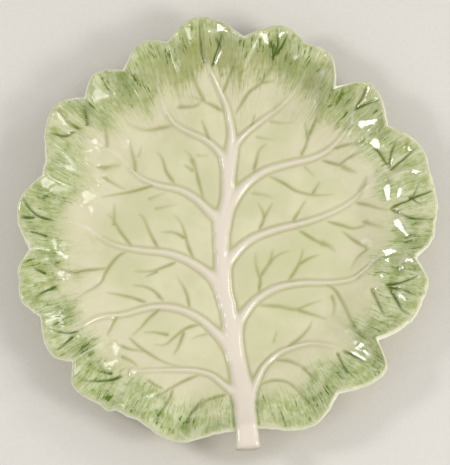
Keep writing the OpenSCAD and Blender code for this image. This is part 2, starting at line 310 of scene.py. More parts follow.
# Each side rib: where it leaves the midrib, its width over a common one, and its points
leftRibs = [
    (9.35, 0.8, [[-3, 42], [-9.6, 49], [-19.7, 54], [-26, 58], [-29.5, 63]]),
    (7.75, 1, [[-9, 14], [-15, 20], [-23, 24.5], [-33, 26.7], [-41, 30], [-47, 35.3]]),
    (6.05, 1.1, [[-10, -17], [-19.5, -10.6], [-30, -7], [-43, -5.6], [-54, -3.2], [-62, 1]]),
    (4.3, 1, [[-6, -46.5], [-14, -39.5], [-24, -35], [-36, -34.3], [-50, -38], [-61, -40.2], [-71, -46.3]]),
    (2.7, 0.8, [[-1, -74.3], [-7.5, -68.6], [-16, -66.2], [-27, -66.2], [-43, -67.5]]),
]
rightRibs = [
    (9.75, 0.7, [[4.4, 47], [9.5, 53.3], [17, 59.3], [23.5, 63.6], [29, 68.3]]),
    (8.15, 1.1, [[6.5, 24.3], [12, 29.8], [19.5, 34.4], [30, 37.6], [40.5, 40.2], [49, 44.2],
                 [55, 49.8], [60, 56.5]]),
    (6.6, 1, [[6.5, -4.4], [14, 1], [25, 5], [37, 8], [48, 12], [58, 17.3], [64.5, 22.5]]),
    (4.8, 1, [[9, -36.5], [14.5, -30.2], [24, -24.6], [36, -22.2], [50, -22], [61, -19.8], [69.5, -13.2]]),
    (2.5, 0.8, [[13.8, -73], [17.5, -64.5], [23.5, -58.2], [31, -54.5], [40.5, -52.6], [51, -55]]),
]


# Stations along a rib's curve at even steps of length, with its half width, height and groove there
def layRib(name, points, width, height, groove):
    points = np.array(points, float)
    last = len(points) - 1
    fine = onCurve(points, np.linspace(0, last, last * ribForm["fine"] + 1))
    length = np.append(0, np.cumsum(np.linalg.norm(np.diff(fine, axis=0), axis=1)))
    count = int(length[-1] / ribForm["step"]) + 1
    t = np.interp(np.linspace(0, length[-1], count), length, np.linspace(0, last, len(fine)))
    return {"name": name, "t": t, "line": onCurve(points, t), "half": width(t) / 2,
            "height": height(t), "groove": groove(t)}


# Midrib: narrows from the stalk's cut end to the neck, then evenly to the tip; height falls off as a cube
def layMidrib():
    last = len(midribPoints) - 1
    neck, stem, tip = ribForm["neck"], ribForm["midribWidth"], ribForm["tipWidth"]

    def width(t):
        return np.interp(t, [0, neck, last], [ribForm["stalkWidth"], stem, tip])

    def height(t):
        return ribForm["midribHeight"] * (1 - ribForm["fade"] * (t / last) ** 3)

    def groove(t):
        return ribForm["grooveDepth"] * np.interp(t, *ribForm["midribGroove"])

    return layRib("midrib", midribPoints, width, height, groove)


# Side rib: springs from inside the midrib and tapers from a flared root to its tip; height falls off as
# a square
def laySideRib(side, number, root, share, points):
    hand = 1 if side == "left" else -1
    small = 0.02
    start, before, here, after = onCurve(
        midribPoints, np.array([root - ribForm["rootBack"], root - small, root, root + small]))
    way = unitRows(after - before)
    half = np.interp(root, midrib["t"], midrib["half"])
    flank = here + np.array([-way[1], way[0]]) * hand * half * ribForm["flank"]
    line = [start, flank] + points
    last = len(line) - 1

    def width(t):
        flare = 1 + ribForm["rootFlare"] * bellCurve(t, 0, ribForm["rootRun"])
        rootWidth = ribForm["sideWidth"] * share * flare
        return ribForm["tipWidth"] + (rootWidth - ribForm["tipWidth"]) * (1 - t / last)

    def height(t):
        return ribForm["sideHeight"] * (1 - ribForm["fade"] * (t / last) ** 2)

    def groove(t):
        return ribForm["grooveDepth"] * np.interp(t / last, *ribForm["sideGroove"])

    return layRib(f"side_rib_{side}_{number}", line, width, height, groove)


midrib = layMidrib()
sideRibs = [laySideRib("left", i + 1, *row) for i, row in enumerate(leftRibs)]
sideRibs += [laySideRib("right", i + 1, *row) for i, row in enumerate(rightRibs)]
ribs = [midrib] + sideRibs


# Field of the ribs: distance to the nearest rib's edge (negative inside), with the ribs melted
# together where they meet, and the mean height, half width and groove of the ribs near a place
def ribField(x, y):
    reach, blend, skip = ribForm["reach"], ribForm["blend"], ribForm["skip"]
    total = np.full_like(x, math.exp(-reach / blend))
    sums = {key: total * rate for key, rate in (("height", 0), ("half", 1), ("groove", 0))}
    field = {"own": np.full_like(x, reach), "midrib": np.full_like(x, reach)}
    for rib in ribs:
        low, high = rib["line"].min(0) - reach, rib["line"].max(0) + reach
        near = np.flatnonzero((x > low[0]) & (x < high[0]) & (y > low[1]) & (y < high[1]))
        gap, along = nearestOnLine(x[near], y[near], rib["line"][::skip])
        at = np.minimum(along * skip, len(rib["line"]) - 1)
        station = np.arange(len(rib["line"]))
        values = {key: np.interp(at, station, rib[key]) for key in sums}
        edge = gap - values["half"]
        weight = np.exp(-edge / blend)
        total[near] += weight
        for key in sums:
            sums[key][near] += weight * values[key]
        field["own"][near] = np.minimum(field["own"][near], edge)
        if rib is midrib:
            field["midrib"][near] = edge
    field.update({key: value / total for key, value in sums.items()})
    field["edge"] = -blend * np.log(total)
    return field


# Relief of the ribs: a smooth step up over the shoulder, less a bell-shaped groove just outside the edge
def ribRelief(field):
    shoulder = np.minimum(field["half"], ribForm["shoulder"])
    crown = softStep(ribForm["grooveOut"], -shoulder, field["edge"])
    groove = bellCurve(field["edge"], ribForm["grooveOut"], ribForm["grooveWidth"])
    return field["height"] * crown - field["groove"] * groove


# Lines traced as pixels of the photograph, from the root outwards
tracing = {
    "rootPixels": 3.5,       # how far a line is carried back past its root, into the rib if it has one
    "dipReach": 3.5,         # width of the hollow round a cut, in widths of the cut
    "ridgeReach": 3, "spotReach": 3,                # how far out a ridge and a spot go, in widths
    "fine": 5,               # stretches of line for each traced point
    "root": 0.2, "rootRise": 2.4,                   # strength of a cut at its root, and how fast it grows
    "cutEnd": 0.5, "ridgeEnd": 0.6,                 # how bluntly a cut and a ridge end
    "thin": 0.4,             # width of a line where it is weakest, as a share of its full width
}
# Twigs: grooves cut in the floor between the ribs
twigs = {
    "depth": 0.4, "width": 1.0, "dip": 0.4, "pool": 1.0,
    "traces": [
        [(208, 137), (204, 126), (201, 119)], [(170, 126), (160, 128), (150, 130), (140, 129), (124, 122)],
        [(107, 145), (106, 133), (102, 117)], [(135, 170), (134, 160), (131, 148), (129, 140)],
        [(173, 181), (166, 171), (162, 158), (156, 151)],
        [(203, 198), (199, 183), (196, 171), (194, 163), (190, 155), (184, 150)],
        [(191, 169), (183, 164)],
        [(150, 186), (133, 191), (117, 194), (100, 197)], [(105, 178), (115, 184), (126, 190)],
        [(100, 167), (110, 166), (120, 165)],
        [(157, 246), (150, 233), (144, 219), (138, 213)], [(130, 244), (120, 231), (114, 221), (107, 213)],
        [(114, 222), (114, 203)], [(193, 257), (188, 246), (185, 234), (181, 223), (173, 214)],
        [(184, 237), (173, 232), (160, 232)],
        [(173, 263), (163, 267), (150, 271), (133, 271)], [(155, 272), (145, 277)],
        [(125, 252), (118, 256), (111, 264), (106, 272), (102, 281), (95, 287), (86, 292), (73, 301)],
        [(105, 268), (95, 269), (85, 270), (75, 272), (65, 270), (55, 264), (48, 257)],
        [(189, 305), (187, 295), (183, 286), (176, 276)], [(161, 298), (153, 290), (143, 286), (131, 285)],
        [(143, 301), (131, 297), (117, 294), (105, 292)], [(158, 310), (148, 319), (140, 328), (132, 335)],
        [(199, 324), (186, 328), (174, 337), (165, 344), (153, 344)], [(183, 334), (178, 347), (173, 354)],
        [(166, 334), (155, 332), (143, 332)],
        [(132, 339), (140, 346), (150, 353), (160, 359), (172, 364), (185, 366)],
        [(122, 345), (130, 348), (140, 350), (150, 352)], [(123, 356), (133, 361), (138, 366)],
        [(118, 315), (114, 322), (110, 330), (108, 336)],
        [(196, 375), (184, 380), (173, 386), (161, 393), (150, 398)], [(150, 380), (158, 385), (165, 389)],
        [(172, 391), (168, 400), (160, 412), (151, 424)], [(223, 394), (211, 397), (203, 402), (199, 407)],
        [(202, 399), (196, 406), (191, 412), (187, 420), (184, 432)],
        [(221, 110), (212, 105), (201, 100), (188, 95)], [(180, 107), (195, 106), (202, 100)],
        [(203, 99), (195, 82), (188, 63)],
        [(237, 111), (243, 101), (250, 91), (260, 84), (268, 72), (272, 65), (273, 53)],
        [(265, 82), (275, 81)], [(223, 92), (227, 82), (232, 69), (236, 58)], [(252, 125), (255, 113)],
        [(302, 153), (307, 140), (304, 121)], [(307, 140), (310, 133), (315, 120), (317, 111)],
        [(254, 169), (256, 161), (259, 150), (267, 143)],
        [(272, 177), (284, 183), (295, 190), (309, 194), (322, 195), (334, 194)],
        [(314, 191), (320, 181)], [(325, 161), (339, 165), (349, 169), (356, 172)],
        [(340, 164), (350, 157), (365, 149)], [(335, 148), (345, 145), (355, 143), (365, 138)],
        [(260, 228), (264, 217), (261, 208), (257, 202)], [(264, 217), (267, 212), (273, 202)],
        [(294, 219), (300, 209), (306, 200)],
        [(302, 232), (317, 241), (329, 246), (335, 251)],
        [(330, 222), (342, 225), (352, 228), (362, 226), (368, 222)],
        [(345, 233), (355, 241), (366, 248), (360, 254), (355, 260), (350, 270)],
        [(358, 203), (368, 205), (378, 208), (390, 210)], [(360, 193), (365, 183), (367, 175)],
        [(259, 289), (260, 279), (256, 266), (255, 251)], [(261, 275), (267, 266), (276, 256), (290, 250)],
        [(270, 261), (273, 249)], [(290, 278), (297, 267), (301, 257), (303, 247)],
        [(300, 263), (309, 258), (320, 254)], [(262, 305), (279, 306), (295, 309), (309, 304), (322, 300)],
        [(299, 310), (315, 315), (327, 319)], [(332, 297), (334, 305), (332, 317)],
        [(326, 284), (335, 290), (342, 302), (348, 315), (354, 326), (360, 334), (365, 340)],
        [(289, 345), (300, 337), (309, 327), (312, 320)],
        [(277, 359), (288, 360), (296, 363), (303, 366), (312, 366)], [(303, 367), (311, 375), (317, 381)],
        [(261, 383), (269, 380), (277, 379), (287, 381), (296, 388), (303, 396), (311, 404), (316, 415)],
        [(357, 276), (372, 263), (390, 254)],
    ],
}
# Faint twigs: short, shallow grooves that spring from no rib
faintTwigs = {
    "depth": 0.3, "width": 0.9, "dip": 0.3, "pool": 0.55,
    "traces": [
        [(139, 154), (142, 145)], [(199, 155), (209, 156)], [(151, 198), (166, 192)],
        [(158, 208), (178, 204)], [(205, 334), (197, 336), (190, 340)],
        [(271, 121), (282, 123), (295, 122)],
        [(259, 137), (276, 140)], [(306, 168), (315, 177)], [(254, 193), (266, 195), (273, 198)],
        [(274, 339), (277, 330)],
    ],
}
# Leaflets: broad, leaf-shaped ends of a few twigs
leaflets = {
    "depth": 0.35, "width": 1.5, "dip": 0.2, "pool": 0.9,
    "traces": [
        [(343, 167), (349, 170), (357, 173)], [(365, 222), (372, 224), (384, 228)],
        [(322, 243), (329, 246), (336, 252)], [(360, 191), (363, 184), (367, 175)],
        [(104, 168), (112, 166), (121, 165)], [(192, 160), (195, 168), (197, 177)],
    ],
}
# Forks: deeper cuts that spread into the lobes of the rim
forks = {
    "depth": 0.65, "width": 0.75, "dip": 0.7, "pool": 2.0,
    "traces": [
        [(204, 60), (201, 45), (199, 20)], [(213, 63), (219, 45), (222, 33)], [(219, 45), (216, 36)],
        [(273, 57), (272, 45), (267, 36)], [(275, 53), (278, 42), (276, 27)],
        [(278, 52), (284, 42), (288, 33)],
        [(355, 108), (362, 97), (367, 85)], [(357, 108), (368, 103), (380, 99)],
        [(385, 162), (378, 152), (373, 148)], [(389, 165), (391, 152), (396, 141)],
        [(392, 168), (402, 160), (418, 146)], [(392, 207), (400, 203), (411, 198), (420, 180)],
        [(411, 198), (434, 190)], [(411, 198), (422, 205)], [(393, 210), (412, 218), (436, 219)],
        [(388, 284), (400, 282), (420, 274)], [(390, 287), (402, 289), (415, 294)],
        [(390, 290), (396, 300), (401, 309), (409, 314)], [(372, 291), (380, 308), (384, 314)],
        [(345, 351), (352, 354), (366, 362)], [(338, 355), (347, 374)],
        [(120, 376), (110, 379), (95, 380), (80, 379)], [(110, 372), (97, 370)],
        [(76, 331), (65, 332), (50, 328)], [(71, 338), (58, 350)], [(44, 272), (33, 267)],
        [(54, 287), (45, 291), (35, 297)], [(50, 219), (40, 216), (32, 210), (25, 201), (19, 190)],
        [(32, 217), (22, 217)], [(45, 235), (32, 231)], [(77, 127), (68, 121), (57, 108)],
        [(72, 133), (65, 136), (47, 132)], [(87, 122), (84, 102)],
    ],
}
# Veins: thin ridges that carry the ribs on towards the lip
veins = {
    "rise": 0.35, "width": 0.9, "swell": 0.05, "pale": 0.7,
    "traces": [
        [(165, 111), (160, 97), (158, 80), (157, 64)], [(287, 100), (296, 89), (303, 77), (307, 66)],
        [(352, 121), (353, 112), (356, 100), (358, 88)], [(361, 192), (373, 181), (385, 169), (394, 159)],
        [(371, 262), (381, 255), (393, 250)], [(129, 167), (121, 158), (109, 150), (97, 145)],
        [(98, 235), (85, 228), (72, 222), (57, 219)], [(80, 326), (70, 331), (60, 334)],
        [(137, 370), (126, 371), (114, 376)], [(333, 346), (342, 351), (354, 358)],
        [(209, 69), (205, 60), (201, 45)],
    ],
}
# Folds: rounder ridges in the ruffled lobes
folds = {
    "rise": 0.8, "width": 1.6, "swell": 0.3, "pale": 0.35,
    "traces": [
        [(104, 147), (93, 148), (81, 151), (71, 156)], [(66, 276), (58, 271), (50, 265)],
        [(66, 273), (60, 277), (53, 281)], [(60, 311), (50, 314), (42, 315)],
        [(112, 93), (103, 97), (92, 99)],
        [(359, 126), (368, 124), (378, 120)], [(184, 22), (187, 33), (191, 44)],
        [(212, 31), (222, 29), (233, 36)], [(374, 78), (369, 88), (364, 99)],
        [(400, 262), (409, 257), (417, 252)], [(400, 290), (408, 300), (411, 309)],
    ],
}
# Ruffles: the large folds that part one lobe from the next
ruffles = {
    "rise": 1.3, "width": 2.4, "swell": 0.3, "pale": 0.4,
    "traces": [
        [(105, 146), (92, 142), (80, 137), (68, 132), (60, 125), (53, 117)],
        [(390, 178), (400, 172), (412, 170), (427, 172)], [(400, 213), (406, 227), (416, 241)],
    ],
}


# For each traced line: the places near it, their distance from it, and their share of the way along it
def alongTraces(x, y, traces, reach):
    for trace in traces:
        first, second = np.array(trace[:2], float)
        root = first + unitRows(first - second) * tracing["rootPixels"]
        points = onLeaf([root] + trace)
        line = onCurve(points, np.linspace(0, len(points) - 1, tracing["fine"] * len(points)))
        low, high = line.min(0) - reach, line.max(0) + reach
        near = np.flatnonzero((x > low[0]) & (x < high[0]) & (y > low[1]) & (y < high[1]))
        if len(near):
            gap, along = nearestOnLine(x[near], y[near], line)
            yield near, gap, along / (len(line) - 1)


# Width of a traced line where its strength is taper: a share of the full width, and the rest by strength
def lineWidth(kind, taper):
    return kind["width"] * (tracing["thin"] + (1 - tracing["thin"]) * taper)


# Field of all twigs, leaflets and forks: the deepest narrow bell curve over all of them, each swelling
# from its root and tapered to its end, the deepest wide one, which leaves the leaf between the cuts
# swelling like a pillow, and the glaze that pools in the narrow one
def cutField(x, y):
    cut, dip, pool = np.zeros_like(x), np.zeros_like(x), np.zeros_like(x)
    for kind in (twigs, faintTwigs, leaflets, forks):
        reach = 2 * tracing["dipReach"] * kind["width"]
        for near, gap, share in alongTraces(x, y, kind["traces"], reach):
            grown = np.minimum(tracing["root"] + tracing["rootRise"] * share, 1)
            taper = grown * np.clip(1 - share, 0, 1) ** tracing["cutEnd"]
            wide = lineWidth(kind, taper)
            bell = taper * bellCurve(gap, 0, wide)
            spread = taper * bellCurve(gap, 0, tracing["dipReach"] * wide)
            cut[near] = np.maximum(cut[near], kind["depth"] * bell)
            dip[near] = np.maximum(dip[near], kind["dip"] * spread)
            pool[near] = np.maximum(pool[near], kind["pool"] * bell)
    return cut, dip, pool


# Field of the veins, folds and ruffles: a bell curve across each, swelling from its root and tapered to
# its end; their rise and how pale they are
def ridgeField(x, y):
    rise, pale = np.zeros_like(x), np.zeros_like(x)
    for kind in (veins, folds, ruffles):
        for near, gap, share in alongTraces(x, y, kind["traces"], tracing["ridgeReach"] * kind["width"]):
            taper = np.clip(share / kind["swell"], 0, 1) * np.clip(1 - share, 0, 1) ** tracing["ridgeEnd"]
            bell = taper * bellCurve(gap, 0, lineWidth(kind, taper))
            rise[near] = np.maximum(rise[near], kind["rise"] * bell)
            pale[near] = np.maximum(pale[near], kind["pale"] * bell)
    return rise, pale


# Round spots given as pixels of the photograph with a radius and a strength: the strongest bell curve
def spotField(x, y, spots):
    total = np.zeros_like(x)
    for (cx, cy), (_, _, radius, strength) in zip(onLeaf([spot[:2] for spot in spots]), spots):
        wide = radius * view["mmPerPixel"]
        near = np.flatnonzero(np.hypot(x - cx, y - cy) < tracing["spotReach"] * wide)
        gap = np.hypot(x[near] - cx, y[near] - cy)
        total[near] = np.maximum(total[near], strength * bellCurve(gap, 0, wide))
    return total


# Glints: flat places of the ruffled rim, each from one pixel of the photograph to another, and half its
# width in pixels
glints = {
    "lamps": ("keyBox", "windowBox", "sideBox"),
    "flat": 0.8, "melt": 1.6,    # where a place starts to melt into the leaf, and ends, in half widths
    "crown": 0.07,               # how much more it slopes at its half width than in its middle
    "drop": 0.7, "ragged": 0.5,  # how much wider it starts than it ends, and how uneven its outline is
    "raggedScale": 3, "reach": 2,                   # how fine that is, and how far out a place goes
    "spots": [
        (45, 183, 51, 183, 5), (87, 196, 93, 196, 5), (90, 208, 91, 213, 2.5), (97, 179, 98, 183, 2.5),
        (86, 160, 88, 162, 2.5), (98, 149, 100, 151, 2.5), (97, 97, 108, 95, 4), (58, 115, 68, 126, 2.8),
        (93, 141, 103, 146, 2.5), (54, 242, 57, 251, 3.5), (57, 251, 68, 258, 3), (60, 274, 64, 272, 3.5),
        (54, 281, 55, 282, 2), (44, 315, 56, 312, 1.8), (61, 322, 63, 324, 3), (78, 336, 80, 338, 3),
        (115, 346, 116, 354, 4), (107, 364, 117, 361, 4), (134, 372, 136, 373, 2.5),
        (122, 404, 124, 406, 2.5), (362, 124, 375, 120, 3.5), (374, 141, 381, 150, 4),
        (409, 148, 413, 151, 2.5), (412, 172, 423, 171, 2.2), (387, 188, 390, 199, 4),
        (401, 190, 397, 199, 2.8), (398, 222, 406, 236, 3.2), (388, 251, 395, 250, 3),
        (408, 260, 413, 262, 3), (402, 268, 404, 269, 2), (382, 275, 384, 276, 2),
        (360, 345, 361, 347, 2.5), (187, 28, 189, 40, 3), (218, 30, 228, 31, 1.7),
        (263, 35, 268, 43, 3.2), (281, 34, 286, 31, 2.4), (372, 82, 366, 96, 1.8),
        (317, 47, 322, 50, 1.5), (325, 53, 328, 60, 1.5), (147, 396, 157, 391, 2.2),
    ],
}


# Slope that mirrors a lamp to the camera, square to the way half between them; of the lamps, the one that
# turns the leaf least
def glintSlope(x, y, own):
    tilt = view["elevation"] * deg
    toCamera = np.array([0, -math.cos(tilt), math.sin(tilt)])
    places = [lampPlace(*lamp[1:4]) / mm for lamp in lamps if lamp[0] in glints["lamps"]]
    halfWays = unitRows(np.array(places) - [x, y, floorTop]) + toCamera
    slopes = -halfWays[:, :2] / halfWays[:, 2:]
    return slopes[np.hypot(*(slopes - own).T).argmin()]


# Field of the glints: how far a place is on one, and the lift from the smooth face to the glint's plane
def glintField(x, y):
    share, lift = np.zeros_like(x), np.zeros_like(x)
    for x0, y0, x1, y1, half in glints["spots"]:
        line = onLeaf([(x0, y0), (x1, y1)])
        wide = half * view["mmPerPixel"]
        cx, cy = line.mean(0)
        reach = np.hypot(*(line[1] - line[0])) / 2 + glints["reach"] * wide
        near = np.flatnonzero(np.hypot(x - cx, y - cy) < reach)
        toRight, toBack = np.array([0, 1, -1, 0, 0]), np.array([0, 0, 0, 1, -1])
        around = baseHeight(cx + wide * toRight, cy + wide * toBack)
        own = np.array([around[1] - around[2], around[3] - around[4]]) / (2 * wide)
        slope = glintSlope(cx, cy, own)
        gap, along = nearestOnLine(x[near], y[near], line)
        fine = glints["raggedScale"]
        ragged = 1 + glints["ragged"] * lumps(fine * x[near], fine * y[near])
        wideHere = wide * (1 + glints["drop"] * (0.5 - along)) * ragged
        fade = softStep(glints["melt"], glints["flat"], gap / wideHere)
        plane = around[0] + (x[near] - cx) * slope[0] + (y[near] - cy) * slope[1]
        plane -= glints["crown"] * gap ** 2 / (2 * wide)
        lift[near] = np.where(fade > share[near], plane - baseHeight(x[near], y[near]), lift[near])
        share[near] = np.maximum(share[near], fade)
    return share, lift


# Brushed green, with patches of the glaze as pixels of the photograph, a radius and a strength
brush = {
    "reach": 27, "full": 7,  # how far the green runs in from the lip, and how far it is full
    "bareLip": 2.5,          # band along the lip where the glaze has run thin and pale
    "lipThin": 0.6,          # share of the green that is left there
    "topReach": 8,           # how much further it runs at the leaf's tip
    "tipTurn": 90, "tipSpread": 42,                 # where the tip is and how wide, in degrees
    "tipOlive": (2, 12),     # where the olive of the tip starts and is full, in from the lip
    "hairs": 1.6,            # how far single hairs run in, as a share of the reach
    "fewHairs": 0.35,        # share of the hairs away from the tip
    "thin": [                # patches where the green is thin
        (66, 122, 15, 0.8), (60, 150, 12, 0.4), (361, 98, 11, 0.7), (395, 160, 12, 0.4),
        (420, 210, 13, 0.7), (216, 412, 16, 0.6), (276, 414, 11, 0.5), (403, 130, 15, 0.7),
        (372, 86, 11, 0.6), (328, 58, 9, 0.5),
        (315, 116, 14, 0.6), (244, 71, 14, 0.4), (90, 190, 16, 0.5), (95, 150, 14, 0.5), (85, 250, 14, 0.5),
        (430, 185, 10, 0.4), (105, 345, 12, 0.6), (350, 150, 14, 0.4), (385, 235, 12, 0.4),
    ],
    "thick": [               # patches where it runs further in
        (384, 187, 13, 0.6), (381, 271, 14, 0.5), (368, 370, 14, 0.5), (178, 424, 13, 0.5),
        (140, 87, 15, 0.5), (183, 66, 14, 0.4), (77, 274, 12, 0.5), (400, 234, 10, 0.4),
        (340, 118, 13, 0.5), (120, 80, 14, 0.3),
    ],
    "dull": [                # patches where the glaze is less shiny
        (323, 64, 8, 1), (318, 79, 8, 1), (314, 93, 8, 1), (309, 106, 7, 1), (297, 46, 10, 1),
        (352, 120, 8, 0.7), (356, 133, 8, 0.6), (366, 135, 5, 0.8), (355, 148, 7, 0.8), (344, 163, 6, 0.8),
        (364, 192, 6, 0.8), (366, 244, 6, 0.7), (177, 106, 5, 0.9), (113, 163, 6, 0.7), (104, 142, 8, 0.5),
        (92, 199, 15, 0.45), (99, 174, 14, 0.5), (90, 159, 12, 0.45), (48, 183, 13, 0.4),
        (117, 155, 6, 0.7), (124, 144, 5, 0.8), (66, 254, 10, 0.3), (116, 352, 12, 0.3),
        (350, 336, 8, 0.9), (375, 358, 9, 0.9), (214, 222, 5, 0.8), (215, 245, 5, 0.8), (216, 292, 5, 0.8),
        (219, 301, 5, 0.8), (222, 311, 5, 0.8), (225, 321, 5, 0.8), (227, 331, 5, 0.8), (228, 340, 5, 0.7),
        (231, 356, 5, 0.8), (232, 390, 5, 0.8),
    ],
    "clumps": [              # patches where it is darker
        (45, 198, 6, 0.9), (26, 217, 6, 0.7), (36, 232, 6, 0.6), (89, 108, 8, 0.5), (76, 102, 8, 0.4),
        (127, 83, 15, 0.7), (96, 87, 5, 0.4), (58, 162, 10, 0.3), (62, 204, 9, 0.4), (53, 260, 9, 0.5),
        (66, 313, 11, 0.8), (57, 322, 6, 0.5), (87, 347, 10, 1.0), (92, 362, 6, 0.5), (75, 368, 8, 0.3),
        (109, 397, 9, 0.6), (133, 409, 10, 0.6), (186, 422, 9, 0.6), (215, 428, 14, 0.7),
        (341, 370, 11, 0.8), (376, 362, 11, 0.7), (318, 395, 9, 0.7), (286, 421, 10, 0.7),
        (371, 333, 9, 0.6), (361, 382, 6, 0.5), (408, 241, 9, 0.6), (411, 222, 9, 0.4), (436, 219, 5, 0.5),
        (396, 268, 9, 0.5), (391, 284, 6, 0.6), (409, 290, 7, 0.4), (345, 103, 12, 0.6), (332, 90, 6, 0.6),
        (372, 110, 9, 0.3), (310, 66, 9, 0.6), (387, 136, 8, 0.3), (377, 171, 10, 0.4), (386, 190, 10, 0.4),
        (180, 48, 9, 0.7), (169, 60, 8, 0.5), (132, 79, 8, 0.5), (220, 38, 7, 0.5), (246, 41, 8, 0.6),
        (271, 51, 9, 0.6), (288, 63, 11, 0.6),
    ],
}


# Share of green: full near the lip and gone at the brush's reach, which is longer at the leaf's tip, less
# the thin patches and with the thick ones; hairs in the same way, further in; the darker clumps; the olive
# of the leaf's tip; and the patches of duller glaze
def greenField(x, y, fromLip):
    nearTip = bellCurve(np.arctan2(y, x) / deg, brush["tipTurn"], brush["tipSpread"])
    reach = brush["reach"] + brush["topReach"] * nearTip
    thin = brush["lipThin"] + (1 - brush["lipThin"]) * softStep(0, brush["bareLip"], fromLip)
    green = thin * (1 - softStep(brush["full"], reach, fromLip))
    hairs = brush["fewHairs"] + (1 - brush["fewHairs"]) * nearTip
    hairs = hairs * (1 - softStep(brush["full"], reach * brush["hairs"], fromLip))
    green = np.clip(green * (1 - spotField(x, y, brush["thin"])) + spotField(x, y, brush["thick"]), 0, 1)
    tipOlive = nearTip * softStep(*brush["tipOlive"], fromLip)
    dark, dull = (spotField(x, y, brush[key]) for key in ("clumps", "dull"))
    return {"green": green, "hairs": hairs, "dark": dark, "tipOlive": tipOlive, "dull": dull}


# Gentle unevenness of hand work: a few slow waves that cross each other
def handWaves(x, y):
    waves = ((0.11, 0.05, 0.4), (-0.07, 0.13, 1.9), (0.16, -0.12, 3.1), (0.05, 0.21, 5.0))
    return sum(np.sin(a * x + b * y + c) for a, b, c in waves) / len(waves)


# Creases: finer waves round the rim than the pleats
def creases(turn, up):
    waves = ((47, 4.4), (71, 1.2))
    total = sum(np.sin(count * turn + phase + leaf["creaseLean"] * up) for count, phase in waves)
    return total / len(waves)


# Small lumps: quicker waves that cross each other at many angles
def lumps(x, y):
    waves = ((0.52, 0.13, 0.3), (-0.31, 0.47, 2.2), (0.18, -0.61, 4.1), (0.44, 0.49, 1.3),
             (-0.66, 0.22, 5.2))
    return sum(np.sin(a * x + b * y + c) for a, b, c in waves) / len(waves)


# Unevenness of the upper surface: hand waves, lumps and creases, all at or below the smooth face
def unevenness(x, y):
    turn = np.arctan2(y, x)
    up = wallShare(np.hypot(x, y), turn)
    onWall = leaf["floorLumps"] + (1 - leaf["floorLumps"]) * softStep(*leaf["lumpSpan"], up)
    sunk = leaf["waveDepth"] * (handWaves(x, y) - 1) + leaf["lumpDepth"] * onWall * (lumps(x, y) - 1)
    sunk += leaf["creaseDepth"] * softStep(*leaf["creaseSpan"], up) * (creases(turn, up) - 1)
    return sunk / 2


# How the glaze lies over the relief, in millimetres and shares
glazeLie = {
    "grooveTint": 0.55, "grooveFrom": 0.7, "grooveSpread": 0.6,     # pool beside a rib's edge
    "mostPool": 1.1,
    "creamGain": 1.35, "creamEdge": (0.2, -1.0),                    # cream of a rib, less as it flattens
    "footTint": 0.9, "footFrom": 31, "footSpread": 9,               # warm band at the foot of the wall
    "haloFade": 3.5,                                                # warm band beside a rib
    "strokes": 100,                                                 # radius at which strokes are counted
}


# Place along the strokes: the way round the rim on a circle of one radius, and the way in from the lip
def strokePlace(turn, fromLip):
    radius = glazeLie["strokes"]
    return np.stack([radius * np.cos(turn), radius * np.sin(turn), fromLip], -1)


# Colour guides that the glaze reads, worked out at each vertex from the same fields as the relief
def glazeGuides(x, y, field, cutPool, pale):
    turn, radius = np.arctan2(y, x), np.hypot(x, y)
    fromLip = np.maximum(lipRadius(turn) - leaf["lipOut"] - radius, 0)
    lie = glazeLie
    inGroove = lie["grooveTint"] * bellCurve(field["edge"], lie["grooveFrom"], lie["grooveSpread"])
    pool = np.maximum(inGroove * field["groove"] / ribForm["grooveDepth"], cutPool)
    fading = np.clip(field["height"] / ribForm["midribHeight"] * lie["creamGain"], 0, 1)
    cream = np.maximum(softStep(*lie["creamEdge"], field["edge"]) * fading, pale)
    wallFoot = lie["footTint"] * bellCurve(fromLip, lie["footFrom"], lie["footSpread"])
    halo = np.maximum(np.exp(-np.maximum(field["edge"], 0) / lie["haloFade"]), wallFoot)
    guides = greenField(x, y, fromLip)
    guides.update(pool=np.clip(pool, 0, lie["mostPool"]), cream=cream, halo=halo, lip=np.zeros_like(x),
                  streak=strokePlace(turn, fromLip))
    return guides


# Mesh from points in millimetres and faces, with colour guides at its points and sharp edges where marked
def meshPiece(name, points, faces, guides=None, sharp=None):
    mesh = bpy.data.meshes.new(name)
    mesh.from_pydata(points * mm, [], faces)
    mesh.polygons.foreach_set("use_smooth", np.ones(len(mesh.polygons), bool))
    for key, value in (guides or {}).items():
        kind, part = ("FLOAT_VECTOR", "vector") if value.ndim == 2 else ("FLOAT", "value")
        mesh.attributes.new(key, kind, "POINT").data.foreach_set(part, value.astype(np.float32).ravel())
    if sharp is not None:
        ends = np.empty(len(mesh.edges) * 2, int)
        mesh.edges.foreach_get("vertices", ends)
        marked = sharp[ends.reshape(-1, 2)].all(1)
        mesh.attributes.new("sharp_edge", "BOOLEAN", "EDGE").data.foreach_set("value", marked)
    mesh.validate()
    piece = bpy.data.objects.new(name, mesh)
    bpy.context.scene.collection.objects.link(piece)
    return piece


# Quads between neighbouring rows of equal rings, as one array
def ringQuads(rows, columns, first=0):
    here = first + np.arange(rows - 1)[:, None] * columns + np.arange(columns)
    beside = first + np.arange(rows - 1)[:, None] * columns + (np.arange(columns) + 1) % columns
    return np.stack([here, beside, beside + columns, here + columns], -1).reshape(-1, 4)


# Square of even cells bent to a disc: nested squares become rings, the way round a square the turn
def discGrid(cells):
    side = np.linspace(-1, 1, cells + 1)
    x, y = np.meshgrid(side, side)
    ring = np.maximum(abs(x), abs(y))
    flat = abs(x) >= abs(y)
    lead, other = np.where(flat, x, y), np.where(flat, y, x)
    lean = 45 * other / np.where(lead == 0, 1, lead)
    turn = np.where(flat, lean, 90 - lean) + 180 * (lead < 0)
    return ring, turn * deg


